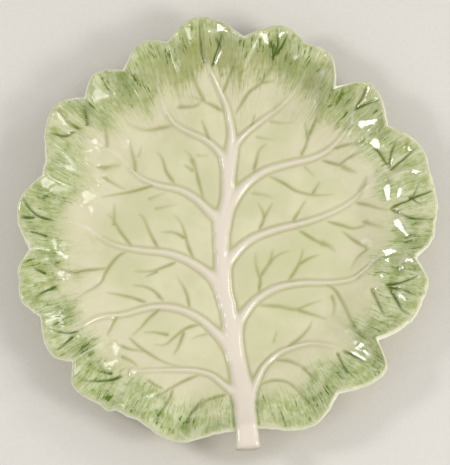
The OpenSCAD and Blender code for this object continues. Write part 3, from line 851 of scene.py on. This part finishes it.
# Leaf blade: upper face on a disc grid, then the rounded lip and the underside ring by ring
def makeLeaf():
    cells = leaf["gridCells"]
    ring, turn = (a.ravel() for a in discGrid(cells))
    run = ring * (leaf["floorRadius"] + wallWidth(turn))
    up = np.clip((run - leaf["floorRadius"]) / wallWidth(turn), 0, 1)
    radius = np.where(run < leaf["floorRadius"], run, wallRadius(turn, up))
    x, y = radius * np.cos(turn), radius * np.sin(turn)
    field = ribField(x, y)
    cut, dip, pool = cutField(x, y)
    ridge, pale = ridgeField(x, y)
    under = softStep(*leaf["ribSink"], -field["own"])
    clear = softStep(*leaf["ribClear"], field["edge"])
    plain = unevenness(x, y)
    relief = plain + ribRelief(field) + (ridge - cut - dip) * clear
    relief = relief * (1 - under) + under * (plain - field["groove"] - leaf["ribGap"])
    slope = wallSlope(turn, up)
    rise = relief / np.sqrt(1 + slope ** 2)
    glint, lift = glintField(x, y)
    glint = glint * clear
    rise = rise * (1 - glint)
    top = np.stack([x - rise * slope * np.cos(turn), y - rise * slope * np.sin(turn),
                    wallHeight(turn, up) + rise + lift * glint], -1)
    guides = glazeGuides(x, y, field, pool, pale)

    # rim of the upper face, counter-clockwise from its lower left corner
    n = cells + 1
    index = np.arange(n * n).reshape(n, n)
    rim = np.concatenate([index[0, :-1], index[:-1, -1], index[-1, :0:-1], index[:0:-1, 0]])
    rimTurn = turn[rim]
    ways = np.stack([np.cos(rimTurn), np.sin(rimTurn), np.zeros(len(rim))], -1)
    upward = np.array([0, 0, 1])

    # ring of the underside: sunk square to the wall by the wall's thickness
    def backRing(share):
        flat = np.full(len(rim), share)
        tilt = wallSlope(rimTurn, flat)
        thick = leaf["floorThick"] + (leaf["lipThick"] - leaf["floorThick"]) * share
        sink = thick / np.sqrt(1 + tilt ** 2)
        out = wallRadius(rimTurn, flat) + sink * tilt
        return ways * out[:, None] + upward * (wallHeight(rimTurn, flat) - sink)[:, None]

    edge, below = top[rim], backRing(1.0) + upward * plain[rim][:, None]
    middle = (edge + below) / 2
    out = lipRadius(rimTurn) - np.hypot(middle[:, 0], middle[:, 1])
    rows = []
    for step in range(1, leaf["lipRows"] + 1):
        bend = math.pi * step / leaf["lipRows"]
        rows.append(middle + (edge - middle) * math.cos(bend) + ways * (out * math.sin(bend))[:, None])
    rows += [backRing(1 - step / leaf["backRows"]) for step in range(1, leaf["backRows"] + 1)]
    for share in (2 / 3, 1 / 3):
        rows.append(ways * leaf["floorRadius"] * share + upward * footHeight)
    points = np.concatenate([top] + rows + [np.array([[0, 0, footHeight]])])

    quads = np.stack([index[:-1, :-1], index[:-1, 1:], index[1:, 1:], index[1:, :-1]], -1).reshape(-1, 4)
    count = len(rim)
    firstRow = n * n + np.arange(count)
    joint = np.stack([rim, firstRow, np.roll(firstRow, -1), np.roll(rim, -1)], -1)
    band = ringQuads(len(rows), count, n * n)[:, ::-1]
    lastRow = n * n + (len(rows) - 1) * count + np.arange(count)
    fan = np.stack([np.roll(lastRow, -1), lastRow, np.full(count, len(points) - 1)], -1)
    faces = quads.tolist() + joint.tolist() + band.tolist() + fan.tolist()

    # the underside keeps a light wash of green near the lip and a pale lip line
    back = points[n * n:]
    backTurn, backRadius = np.arctan2(back[:, 1], back[:, 0]), np.hypot(back[:, 0], back[:, 1])
    backFromLip = np.maximum(lipRadius(backTurn) - backRadius, 0)
    lipLine = np.zeros(len(back))
    lipLine[:len(leaf["lipLine"]) * count] = np.repeat(leaf["lipLine"], count)
    backGuides = dict.fromkeys(guides, np.zeros(len(back)))
    backGuides.update({
        "green": leaf["backGreen"] * (1 - softStep(0, leaf["backReach"], backFromLip)),
        "lip": lipLine,
        "streak": strokePlace(backTurn, backFromLip + leaf["backStreak"]),
    })
    guides = {key: np.concatenate([guides[key], backGuides[key]]) for key in guides}
    return meshPiece("leafBlade", points, faces, guides)


# Rib: a closed sweep whose top follows the relief of all ribs and whose underside is let into the leaf
def makeRib(rib):
    across = np.sin(np.linspace(-90, 90, ribForm["topPoints"]) * deg)
    way = unitRows(np.gradient(rib["line"], axis=0))
    left = np.stack([-way[:, 1], way[:, 0]], -1)
    offset = np.append(across, ribForm["underside"])
    plan = rib["line"][:, None] + left[:, None] * (rib["half"][:, None] * offset)[..., None]
    x, y = plan[..., 0].ravel(), plan[..., 1].ravel()
    field = ribField(x, y)
    stations, columns = len(rib["line"]), len(offset)
    topSide = np.tile(np.arange(columns) < len(across), stations)
    plain = unevenness(x, y)
    relief = plain + ribRelief(field)
    seat = plain - field["groove"] - ribForm["seat"]
    droop = np.zeros(len(x))
    if rib is midrib:
        relief = relief + ribForm["midribOver"]
        t = np.repeat(rib["t"], columns)
        drop = ribForm["stalkDrop"] * softStep(*ribForm["stalkSpan"], t)
        belly = np.tile(np.append(np.zeros(len(across)), ribForm["stalkRound"]), stations)
        seat = seat - drop * belly
        droop = ribForm["stalkDroop"] * np.clip(1 - t, 0, 1) ** 2
    else:
        dive = ribForm["sideSink"] * softStep(*ribForm["sinkSpan"], -field["midrib"])
        relief = relief + ribForm["sideOver"] - dive
    points = liftOff(x, y, np.where(topSide, relief, seat))
    points[:, 2] -= droop
    rings = points.reshape(stations, columns, 3)
    heel, tip = rings[0].mean(0), rings[-1].mean(0)
    points = np.concatenate([points, [heel, tip]])
    quads = ringQuads(stations, columns)[:, ::-1]
    ring = np.arange(columns)
    lastRing = (stations - 1) * columns + ring
    heelFan = np.stack([np.roll(ring, -1), ring, np.full(columns, len(points) - 2)], -1)[:, ::-1]
    tipFan = np.stack([lastRing, np.roll(lastRing, -1), np.full(columns, len(points) - 1)], -1)[:, ::-1]
    faces = quads.tolist() + heelFan.tolist() + tipFan.tolist()
    nothing = np.zeros(len(points))
    ownField = ribField(points[:, 0], points[:, 1])
    guides = glazeGuides(points[:, 0], points[:, 1], ownField, nothing, nothing)
    border = np.zeros(columns, bool)
    border[[0, len(across) - 1]] = True
    sharp = np.append(np.tile(border, stations), [False, False])
    return meshPiece(rib["name"], points, faces, guides, sharp)


foot = {
    "outer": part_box("foot_ring")[1].x / mm, "width": 5, "turns": 192,
    # from the top down: how far in from the side, and the share of the height
    "section": ((0, 1), (0.12, 0.7), (0.3, 0.4), (0.55, 0.2), (0.95, 0.06), (1.5, 0)),
}


# Foot ring: a rounded section, the same on both sides, carried round a circle
def makeFoot():
    inset, share = np.array(foot["section"]).T
    outer, inner = foot["outer"], foot["outer"] - foot["width"]
    outside = np.stack([outer - inset, footHeight * share], -1)
    inside = np.stack([inner + inset, footHeight * share], -1)
    profile = np.concatenate([outside, [[(outer + inner) / 2, 0]], inside[::-1]])
    turn = np.linspace(0, 2 * math.pi, foot["turns"], endpoint=False)
    points = np.stack([
        profile[:, 0] * np.cos(turn)[:, None], profile[:, 0] * np.sin(turn)[:, None],
        np.broadcast_to(profile[:, 1], (len(turn), len(profile))),
    ], -1).reshape(-1, 3)
    columns = len(profile)
    here = np.arange(len(turn))[:, None] * columns + np.arange(columns)
    ahead = np.roll(here, -1, axis=0)
    beside, aheadBeside = np.roll(here, -1, axis=1), np.roll(ahead, -1, axis=1)
    faces = np.stack([here, beside, aheadBeside, ahead], -1).reshape(-1, 4)
    return meshPiece("footRing", points, faces.tolist())


leafPiece = makeLeaf()
print("leaf blade:", len(leafPiece.data.polygons), "faces")
ribPieces = [makeRib(rib) for rib in ribs]
print("ribs:", sum(len(piece.data.polygons) for piece in ribPieces), "faces")
footPiece = makeFoot()
print("foot ring:", len(footPiece.data.polygons), "faces")


# Linear colour from the usual 0 to 255 values
def tint(red, green, blue):
    share = np.array([red, green, blue]) / 255
    linear = np.where(share < 0.04045, share / 12.92, ((share + 0.055) / 1.055) ** 2.4)
    return (*linear, 1)


# A material and short ways to add nodes to it; a value that isn't a socket is set on the node itself
class NodeBench:
    def __init__(self, name):
        self.material = bpy.data.materials.new(name)
        self.material.use_nodes = True
        self.nodes = self.material.node_tree.nodes
        self.links = self.material.node_tree.links
        self.shader = self.nodes["Principled BSDF"]

    def put(self, socket, value):
        if isinstance(value, bpy.types.NodeSocket):
            self.links.new(value, socket)
        else:
            socket.default_value = value

    def guide(self, name, part="Fac"):
        node = self.nodes.new("ShaderNodeAttribute")
        node.attribute_name = name
        return node.outputs[part]

    def maths(self, kind, a, b=0.0, c=0.0):
        node = self.nodes.new("ShaderNodeMath")
        node.operation = kind
        for socket, value in zip(node.inputs, (a, b, c)):
            self.put(socket, value)
        return node.outputs[0]

    def vectors(self, kind, a, b):
        node = self.nodes.new("ShaderNodeVectorMath")
        node.operation = kind
        self.put(node.inputs[0], a)
        self.put(node.inputs["Scale" if kind == "SCALE" else 1], b)
        return node.outputs[0]

    def noiseColour(self, where, scale):
        node = self.nodes.new("ShaderNodeTexNoise")
        self.put(node.inputs["Vector"], where)
        self.put(node.inputs["Scale"], scale)
        return node.outputs["Color"]

    def noise(self, where, scale, detail=2.0, rough=0.5):
        node = self.nodes.new("ShaderNodeTexNoise")
        for key, value in (("Vector", where), ("Scale", scale), ("Detail", detail), ("Roughness", rough)):
            self.put(node.inputs[key], value)
        return node.outputs["Fac"]

    def step(self, value, low, high, start=0.0, end=1.0):
        node = self.nodes.new("ShaderNodeMapRange")
        node.interpolation_type = "SMOOTHSTEP"
        for key, part in (("Value", value), ("From Min", low), ("From Max", high), ("To Min", start),
                          ("To Max", end)):
            self.put(node.inputs[key], part)
        return node.outputs["Result"]

    def blend(self, share, a, b):
        node = self.nodes.new("ShaderNodeMix")
        node.data_type = "RGBA"
        for i, value in ((0, share), (6, a), (7, b)):
            self.put(node.inputs[i], value)
        return node.outputs[2]

    def bump(self, height, strength, distance):
        node = self.nodes.new("ShaderNodeBump")
        for key, value in (("Height", height), ("Strength", strength), ("Distance", distance)):
            self.put(node.inputs[key], value)
        return node.outputs["Normal"]

    def objectPlace(self):
        return self.nodes.new("ShaderNodeTexCoord").outputs["Object"]


# Glaze: its base colours and shine, then how fine its clouds and strokes are and how they mix
glaze = {
    "floor": tint(223, 218, 178), "floorDeep": tint(208, 206, 160), "warm": tint(230, 216, 190),
    "olive": tint(146, 147, 70), "cream": tint(234, 221, 201), "lightGreen": tint(216, 218, 174),
    "midGreen": tint(138, 158, 68), "deepGreen": tint(88, 116, 12),
    "crevice": tint(74, 98, 0), "lip": tint(248, 244, 228),
    "roughness": 0.12, "dullness": 0.5, "dullSpan": (0.1, 0.7), "lightBend": 1.5,
    # scale, detail and roughness of the glaze's noise
    "cloud": (45.0, 3.0), "mottle": (170.0, 3.0), "speckle": (480.0, 4.0, 0.65),
    "ripple": (260.0, 2.0), "rippleBump": (0.08, 0.0006),
    "sway": (110.0, 3.5), "slowSway": (40.0, 4.0),                  # how the strokes wander: scale, amount
    "broad": (0.35, 0.35, 0.07), "hair": (1.0, 1.0, 0.13), "longHair": (1.1, 1.1, 0.035),
    "strokeDetail": 3.0, "hairRough": 0.6,
    "strokeMix": (0.4, 0.55, 0.25),                                 # broad marks, hairs and speckle
    "strokeMean": 0.6, "strokePull": 1.6,                           # how far strokes carry the green
    "washStrength": 0.78, "oliveStrength": 0.75, "lipStrength": 0.85,
    "deepFrom": 0.62, "deepGain": 6.0, "lipFrom": 0.75, "lipGain": 1.2,
    "clumpLift": 0.8, "clumpBase": 0.5,
    "toneMix": (0.4, 0.8),                                          # mottle and fine strokes
    # where each mark starts and is full, and for some its least and most share
    "cloudSpan": (0.35, 0.65), "mottleSpan": (0.35, 0.7, 0.0, 0.35), "warmSpan": (0.3, 0.65, 0.15, 0.6),
    "washSpan": (0.1, 0.8), "toneSpan": (0.38, 0.66), "hairSpan": (0.47, 0.66, 0.0, 0.45),
    "deepSpan": (0.5, 1.2), "deepOnGreen": (0.05, 0.3, 0.0, 0.95), "poolSpan": (0.3, 0.6, 0.85, 1.0),
}


# Leaf glaze: pale clouded floor, green strokes that run in from the lip, olive pools in the grooves,
# cream on the ribs and a pale line where the glaze has run off the lip
def makeGlaze():
    b = NodeBench("cabbageGlaze")
    place = b.objectPlace()

    # the way along the strokes, made to wander by a noise
    def wander(scale, amount):
        sway = b.vectors("SCALE", b.noiseColour(place, scale), amount)
        return b.vectors("ADD", b.guide("streak", "Vector"), sway)

    streak, straight = wander(*glaze["sway"]), wander(*glaze["slowSway"])
    green, dark, pool = b.guide("green"), b.guide("dark"), b.guide("pool")
    cloud, mottle, speckle = (b.noise(place, *glaze[key]) for key in ("cloud", "mottle", "speckle"))
    base = b.blend(b.step(cloud, *glaze["cloudSpan"]), glaze["floor"], glaze["floorDeep"])
    base = b.blend(b.step(mottle, *glaze["mottleSpan"]), base, glaze["floorDeep"])
    warmth = b.maths("MULTIPLY", b.guide("halo"), b.step(mottle, *glaze["warmSpan"]))
    base = b.blend(warmth, base, glaze["warm"])
    # strokes: noise drawn out along the radius, fine hairs over broad brush marks
    detail, rough = glaze["strokeDetail"], glaze["hairRough"]
    broad = b.noise(b.vectors("MULTIPLY", streak, glaze["broad"]), 1.0, detail)
    hair = b.noise(b.vectors("MULTIPLY", streak, glaze["hair"]), 1.0, detail, rough)
    longHair = b.noise(b.vectors("MULTIPLY", straight, glaze["longHair"]), 1.0, detail, rough)
    ofBroad, ofHair, ofSpeckle = glaze["strokeMix"]
    fine = b.maths("MULTIPLY_ADD", hair, ofHair, b.maths("MULTIPLY", speckle, ofSpeckle))
    strokes = b.maths("MULTIPLY_ADD", broad, ofBroad, fine)
    # the wash of green, its tone and the olive of the leaf's tip
    drawn = b.maths("SUBTRACT", strokes, glaze["strokeMean"])
    reach = b.maths("MULTIPLY_ADD", drawn, glaze["strokePull"], green)
    wash = b.step(reach, *glaze["washSpan"])
    ofMottle, ofFine = glaze["toneMix"]
    tone = b.maths("MULTIPLY_ADD", mottle, ofMottle, b.maths("MULTIPLY", fine, ofFine))
    tone = b.step(tone, *glaze["toneSpan"])
    rimGreen = b.blend(tone, glaze["lightGreen"], glaze["midGreen"])
    tipOlive = b.maths("MULTIPLY", b.guide("tipOlive"), glaze["oliveStrength"])
    rimGreen = b.blend(tipOlive, rimGreen, glaze["olive"])
    colour = b.blend(b.maths("MULTIPLY", wash, glaze["washStrength"]), base, rimGreen)
    lines = b.maths("MULTIPLY", b.step(longHair, *glaze["hairSpan"]), b.guide("hairs"))
    colour = b.blend(lines, colour, glaze["olive"])
    # dark strokes, more of them near the lip and in the clumps
    nearLip = b.maths("MAXIMUM", b.maths("SUBTRACT", green, glaze["lipFrom"]), 0.0)
    nearLip = b.maths("MULTIPLY", nearLip, glaze["lipGain"])
    lifted = b.maths("SUBTRACT", strokes, glaze["deepFrom"])
    lifted = b.maths("MULTIPLY_ADD", lifted, glaze["deepGain"], nearLip)
    lifted = b.maths("MULTIPLY_ADD", dark, glaze["clumpLift"], lifted)
    deep = b.step(lifted, *glaze["deepSpan"])
    deep = b.maths("MAXIMUM", deep, b.maths("MULTIPLY", dark, glaze["clumpBase"]))
    deep = b.maths("MULTIPLY", deep, b.step(green, *glaze["deepOnGreen"]))
    colour = b.blend(deep, colour, glaze["deepGreen"])
    # pools in the grooves, then the cream of the ribs and the pale lip over all
    poolColour = b.blend(wash, glaze["olive"], glaze["crevice"])
    pooled = b.maths("MULTIPLY", pool, b.step(mottle, *glaze["poolSpan"]))
    colour = b.blend(pooled, colour, poolColour)
    colour = b.blend(b.guide("cream"), colour, glaze["cream"])
    colour = b.blend(b.maths("MULTIPLY", b.guide("lip"), glaze["lipStrength"]), colour, glaze["lip"])
    b.put(b.shader.inputs["Base Color"], colour)
    shine = b.step(b.guide("dull"), *glaze["dullSpan"], glaze["roughness"], glaze["dullness"])
    b.put(b.shader.inputs["Roughness"], shine)
    b.put(b.shader.inputs["IOR"], glaze["lightBend"])
    ripple = b.noise(place, *glaze["ripple"])
    b.put(b.shader.inputs["Normal"], b.bump(ripple, *glaze["rippleBump"]))
    return b.material


footFinish = {
    "clay": tint(222, 204, 172), "clayDark": tint(205, 184, 150),
    "grain": (900.0, 4.0), "grainSpan": (0.3, 0.7), "grainBump": (0.25, 0.0004),
    "ragged": (120.0, 3.0), "raggedHeight": 0.0012,     # how uneven the wiped edge is
    "wiped": (0.0011, 0.0016),                          # height where the bare clay ends
    "glazeRough": 0.14, "clayRough": 0.8,
}


# Foot: the same pale glaze on its sides, wiped to bare clay on the standing edge
def makeFootGlaze():
    b = NodeBench("wipedFoot")
    place = b.objectPlace()
    parts = b.nodes.new("ShaderNodeSeparateXYZ")
    b.put(parts.inputs[0], place)
    grain = b.noise(place, *footFinish["grain"])
    uneven = b.noise(place, *footFinish["ragged"])
    ragged = b.maths("MULTIPLY_ADD", uneven, footFinish["raggedHeight"], parts.outputs["Z"])
    bare = b.step(ragged, *footFinish["wiped"], 1.0, 0.0)
    clay = b.blend(b.step(grain, *footFinish["grainSpan"]), footFinish["clay"], footFinish["clayDark"])
    b.put(b.shader.inputs["Base Color"], b.blend(bare, glaze["floor"], clay))
    rough = b.step(bare, 0.0, 1.0, footFinish["glazeRough"], footFinish["clayRough"])
    b.put(b.shader.inputs["Roughness"], rough)
    b.put(b.shader.inputs["Normal"], b.bump(grain, *footFinish["grainBump"]))
    return b.material


leafGlaze = makeGlaze()
footGlaze = makeFootGlaze()
leafPiece.data.materials.append(leafGlaze)
for piece in ribPieces:
    piece.data.materials.append(leafGlaze)
footPiece.data.materials.append(footGlaze)
print("glazes made")

# Every piece stands for its own solid and rides on the one body
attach(leafPiece, "root")
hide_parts("leaf_blade")
for rib, piece in zip(ribs, ribPieces):
    node = rib["name"]
    name = "midribStalk" if rib is midrib else node.replace("side_rib_", "sideRib_")
    piece.name = piece.data.name = name
    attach(piece, "root")
    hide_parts(node)
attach(footPiece, "root")
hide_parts("foot_ring")

# Studio: a pale paper floor, even air and a long lens
studio = {
    "floorColour": tint(226, 220, 210), "fibreColour": tint(223, 217, 207), "fibre": (500.0, 3.0),
    "fibreSpan": (0.3, 0.7), "floorHalf": 2.5, "floorRough": 0.85,
    "distance": 8.0, "clipEnd": 30, "sensor": 36.0, "imageHigh": 465, "imageMiddle": (225, 232.5),
    "world": (0.92, 0.95, 1.0, 1), "worldStrength": 0.5,
}


# Floor: one flat square of pale paper
def makeFloor():
    half = studio["floorHalf"] / mm
    points = np.array([[-half, -half, 0], [half, -half, 0], [half, half, 0], [-half, half, 0]])
    floor = meshPiece("studioFloor", points, [[0, 1, 2, 3]])
    b = NodeBench("palePaper")
    fibre = b.noise(b.objectPlace(), *studio["fibre"])
    tone = b.blend(b.step(fibre, *studio["fibreSpan"]), studio["floorColour"], studio["fibreColour"])
    b.put(b.shader.inputs["Base Color"], tone)
    b.put(b.shader.inputs["Roughness"], studio["floorRough"])
    floor.data.materials.append(b.material)


# Lamp: discs inside each other that face the dish; only the lamps of the glints are mirrored
def addLamp(name, turn, elevation, distance, watts, sizes):
    place = Vector(lampPlace(turn, elevation, distance))
    for size in sizes:
        lamp = bpy.data.lights.new(name, "AREA")
        lamp.shape, lamp.size, lamp.energy = "DISK", size, watts / len(sizes)
        holder = bpy.data.objects.new(name, lamp)
        holder.location = place
        holder.rotation_euler = place.to_track_quat("Z", "Y").to_euler()
        holder.visible_camera = False
        holder.visible_glossy = name in glints["lamps"]
        bpy.context.scene.collection.objects.link(holder)


# Camera: the photograph's tilt, and a lens that gives its scale at the dish
def addCamera():
    camera = bpy.data.cameras.new("photoCamera")
    camera.sensor_width = studio["sensor"]
    high = studio["imageHigh"] * view["mmPerPixel"] * mm
    camera.lens = studio["sensor"] * studio["distance"] / high
    tilt, spin = view["elevation"] * deg, view["azimuth"] * deg
    # the place on the floor of the dish that the middle of the image looks at
    right = (studio["imageMiddle"][0] - view["middle"][0]) * view["mmPerPixel"]
    over = (view["middle"][1] - studio["imageMiddle"][1]) * view["mmPerPixel"]
    ahead = (over - floorTop * math.cos(tilt)) / math.sin(tilt)
    target = Vector((right, ahead, floorTop)) * mm
    back = Vector((math.sin(spin) * math.cos(tilt), -math.cos(spin) * math.cos(tilt), math.sin(tilt)))
    holder = bpy.data.objects.new("photoCamera", camera)
    holder.location = target + back * studio["distance"]
    holder.rotation_euler = back.to_track_quat("Z", "Y").to_euler()
    camera.clip_end = studio["clipEnd"]
    bpy.context.scene.collection.objects.link(holder)
    bpy.context.scene.camera = holder


# Even, slightly cool air all round
def addWorld():
    world = bpy.data.worlds.new("studioAir")
    world.use_nodes = True
    air = world.node_tree.nodes["Background"]
    air.inputs["Color"].default_value = studio["world"]
    air.inputs["Strength"].default_value = studio["worldStrength"]
    bpy.context.scene.world = world
    bpy.context.scene.view_settings.view_transform = "Standard"


makeFloor()
for lampRow in lamps:
    addLamp(*lampRow)
addCamera()
addWorld()
print("studio set")
